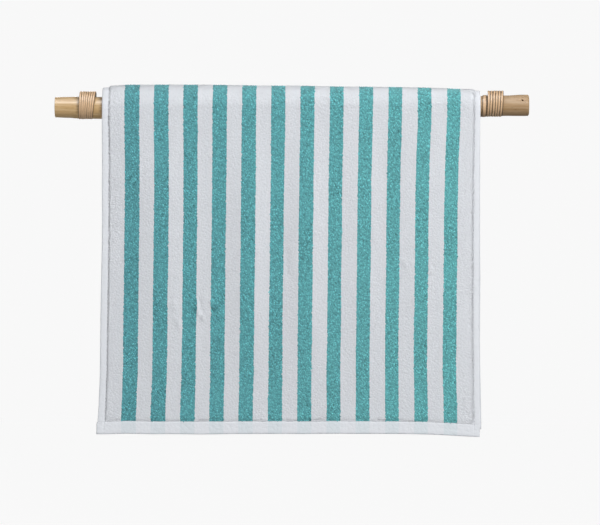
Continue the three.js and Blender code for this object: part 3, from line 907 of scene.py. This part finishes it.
class TOWEL_OT_pile(bpy.types.Operator):
    """Grows the terry loops on the towel's outer faces"""

    bl_idname = "towel.build_pile"
    bl_label = "Terry loops"

    def execute(self, context):
        cut = context.scene.towel_cut
        drape = Drape(cut)
        tree = loop_growth()
        left, right = cut.left_hem - cut.width / 2, cut.width / 2 - cut.side_hem
        front, back = cut.front_length - cut.end_hem, cut.back_length - cut.end_hem
        patches = [
            ("front_left", left, 0.0, -front, 0.0), ("front_right", 0.0, right, -front, 0.0),
            ("back_left", left, 0.0, 0.0, back), ("back_right", 0.0, right, 0.0, back)]
        for number, (name, *patch) in enumerate(patches):
            # Real loops stand 1.6 mm apart, and these are drawn coarser, as the towel's grain shows
            loop = {size: share * cut.loop_spacing for size, share in LOOP_SIZES.items()}
            loop.update({"Lean": LOOP_LEAN, "Seed": cut.seed + number, "Material": bpy.data.materials["cotton terry"]})
            self.grow("pile_" + name, drape, tree, cut, patch, loop)
        return {"FINISHED"}

    def grow(self, name, drape, tree, cut, patch, loop):
        """One patch of pile: jittered points in rows that are set over by half a gap, each with its loop."""
        chance = np.random.default_rng(loop["Seed"])
        gap, (left, right, start, end) = cut.loop_spacing, patch
        ways = np.arange(start + gap / 2, end, gap * ROW_GAP)
        sides = np.arange(left + gap / 2, right, gap)
        along, across = np.meshgrid(ways, sides, indexing="ij")
        across = across + (np.arange(len(ways)) % 2)[:, None] * gap / 2 - gap / 4
        across, along = [place + chance.uniform(-stray, stray, across.shape) * gap
                         for place, stray in zip((across, along), LOOP_STRAY)]
        across, along = across.ravel(), along.ravel()
        height = cut.pile_thickness / 2 - 0.42 * loop["Loop Height"] + chance.uniform(-0.35, 0.0, across.size) * MM
        # The loops are pressed down where the presser foot ran, most along the end hems and least down the left
        end_seam = np.where(along < 0, cut.front_length, cut.back_length) - cut.end_hem - np.abs(along)
        height = height - PRESSED[0] * (1.0 - smooth(end_seam, 0.0, 7 * MM))
        height = height - PRESSED[1] * (1.0 - smooth(cut.width / 2 - cut.side_hem - across, 0.0, 4 * MM))
        points = drape.point(across, along, height)
        seeds = new_piece(name + "_seeds", points, [])
        keep(seeds, facing=drape.facing(across, along), flat=np.stack([across, along, np.zeros_like(across)], axis=-1),
             shade=chance.uniform(0.0, 1.0, across.size), pile=np.ones(across.size))
        pile = grown(seeds, tree, loop, name)
        settle(pile, "terry")


def stitch_growth():
    """Geometry Nodes that lay one stitch on each point of a mesh, along the seam."""
    tree, add, given = new_growth("seam stitches", {"Stitch Size": "Vector", "Material": "Material"})
    ball = add("GeometryNodeMeshUVSphere", Segments=5, Rings=3, Radius=0.5)
    stitch = add("GeometryNodeTransform", Geometry=ball, Scale=given["Stitch Size"])
    facing = add("GeometryNodeInputNamedAttribute", Name="facing", data_type="FLOAT_VECTOR")
    heading = add("GeometryNodeInputNamedAttribute", Name="heading", data_type="FLOAT_VECTOR")
    turned = add("FunctionNodeAlignRotationToVector", Vector=heading, axis="X")
    turned = add("FunctionNodeAlignRotationToVector", Rotation=turned, Vector=facing, axis="Z", pivot_axis="X")
    laid = add("GeometryNodeInstanceOnPoints", Points=given["Geometry"], Instance=stitch, Rotation=turned)
    finish_growth(add, given, laid, "facing", "heading")
    return tree


class TOWEL_OT_stitches(bpy.types.Operator):
    """Sews the hems down along their inner edges"""

    bl_idname = "towel.build_stitches"
    bl_label = "Hem stitches"

    def execute(self, context):
        cut = context.scene.towel_cut
        drape = Drape(cut)
        step = cut.stitch_length
        left, right = cut.left_hem - cut.width / 2 - SEAM_INSET, cut.width / 2 - cut.side_hem + SEAM_INSET
        front, back = [length - cut.end_hem + SEAM_INSET for length in (cut.front_length, cut.back_length)]
        ways = np.arange(-front, back, step)
        sides = np.arange(left, right, step)
        across = np.concatenate([np.full(ways.size, left), np.full(ways.size, right), sides, sides])
        along = np.concatenate([ways, ways, np.full(sides.size, -front), np.full(sides.size, back)])
        down = np.concatenate([np.ones(ways.size * 2, bool), np.zeros(sides.size * 2, bool)])
        height = cut.hem_thickness / 2 - 0.45 * MM
        ahead = 0.5 * MM
        heading = drape.middle(across + ahead * ~down, along + ahead * down) - drape.middle(across, along)
        heading = heading / np.linalg.norm(heading, axis=-1, keepdims=True)
        facing = drape.facing(across, along)
        seeds = new_piece("stitch_seeds", [drape.point(across, along, face * height) for face in (1, -1)], [])
        # The thread is painted darkest down the left side and palest along the ends, as painted shade in the seams
        painted_seam_shade = np.concatenate([np.full(ways.size, 0.6), np.full(ways.size, 0.4), np.full(sides.size * 2, -0.2)])
        keep(seeds, facing=np.concatenate([facing, -facing]), heading=np.concatenate([heading, heading]),
             shade=np.concatenate([painted_seam_shade, painted_seam_shade]))
        stitches = grown(seeds, stitch_growth(), {
            "Stitch Size": (0.6 * step, 0.9 * MM, 0.7 * MM), "Material": thread_material()}, "hem_stitches")
        settle(stitches, "terry")
        return {"FINISHED"}


class TOWEL_OT_stage(bpy.types.Operator):
    """Sets up the floor, the studio light and the camera"""

    bl_idname = "towel.build_stage"
    bl_label = "Studio"

    def execute(self, context):
        scene, stage = context.scene, context.scene.towel_stage
        turn = circle(FLOOR_SIDES)
        points = np.stack([
            FLOOR_RADIUS * np.sin(turn), FLOOR_RADIUS * np.cos(turn), np.full(FLOOR_SIDES, -stage.floor_drop)], axis=-1)
        floor = new_piece(
            "studio_floor", points, [list(range(FLOOR_SIDES))[::-1]], floor_material(stage.floor), smooth_faces=False)
        floor.visible_diffuse = floor.visible_glossy = False

        camera = bpy.data.cameras.new("photo_camera")
        camera.sensor_width = 36.0
        camera.lens = camera.sensor_width * stage.distance / (PHOTO_WIDE * PIXEL)
        camera.clip_end = 60.0
        viewer = scene.camera = new_object("photo_camera", camera)
        viewer.location = (
            (PHOTO_WIDE / 2 - RAIL_COLUMN) * PIXEL, -stage.front - stage.distance, (RAIL_ROW - PHOTO_HIGH / 2) * PIXEL)
        viewer.rotation_euler = (math.pi / 2, 0, 0)

        for name, (size, place, target) in LIGHTS.items():
            lamp = bpy.data.lights.new(name + "_light", "AREA")
            lamp.energy, lamp.size = getattr(stage, name + "_power"), size
            holder = new_object(name + "_light", lamp)
            holder.location = place
            holder.rotation_euler = (Vector(target) - Vector(place)).to_track_quat("-Z", "Y").to_euler()
            holder.visible_camera = False
            holder.visible_diffuse = name != "gloss"

        world, add = with_nodes(bpy.data.worlds.new("studio"))
        seen = add("LightPath")
        around = add("Background", Color=(1.0, 1.0, 1.0, 1.0), Strength=stage.surround)
        behind = add("Background", Color=(1.0, 1.0, 1.0, 1.0), Strength=stage.backdrop)
        add("OutputWorld", add("MixShader", seen, around, behind))
        scene.world = world
        scene.view_settings.view_transform = "Standard"
        return {"FINISHED"}


BUILD_STEPS = ("build_rail", "build_collars", "build_cloth", "build_pile", "build_stitches", "build_stage")


class TOWEL_PT_panel(bpy.types.Panel):
    """The towel's settings and its build steps"""

    bl_idname = "TOWEL_PT_panel"
    bl_label = "Towel on a Rail"
    bl_space_type = "VIEW_3D"
    bl_region_type = "UI"
    bl_category = "Towel"

    def draw(self, context):
        layout, scene = self.layout, context.scene
        for group in (scene.towel_cut, scene.towel_rail, scene.towel_stage):
            box = layout.box()
            for name in group.__annotations__:
                box.prop(group, name)
        for step in BUILD_STEPS:
            layout.operator("towel." + step)


SETTINGS = {"towel_cut": TowelSettings, "towel_rail": RailSettings, "towel_stage": StageSettings}
CLASSES = (TowelSettings, RailSettings, StageSettings, TOWEL_OT_rail, TOWEL_OT_collars, TOWEL_OT_cloth,
           TOWEL_OT_pile, TOWEL_OT_stitches, TOWEL_OT_stage, TOWEL_PT_panel)


def register():
    for each in CLASSES:
        bpy.utils.register_class(each)
    for name, group in SETTINGS.items():
        setattr(bpy.types.Scene, name, PointerProperty(type=group))


def unregister():
    for name in SETTINGS:
        delattr(bpy.types.Scene, name)
    for each in reversed(CLASSES):
        bpy.utils.unregister_class(each)


def main():
    register()
    terry_material(bpy.context.scene.towel_cut)
    for step in BUILD_STEPS:
        getattr(bpy.ops.towel, step)()


if __name__ == "__main__":
    main()
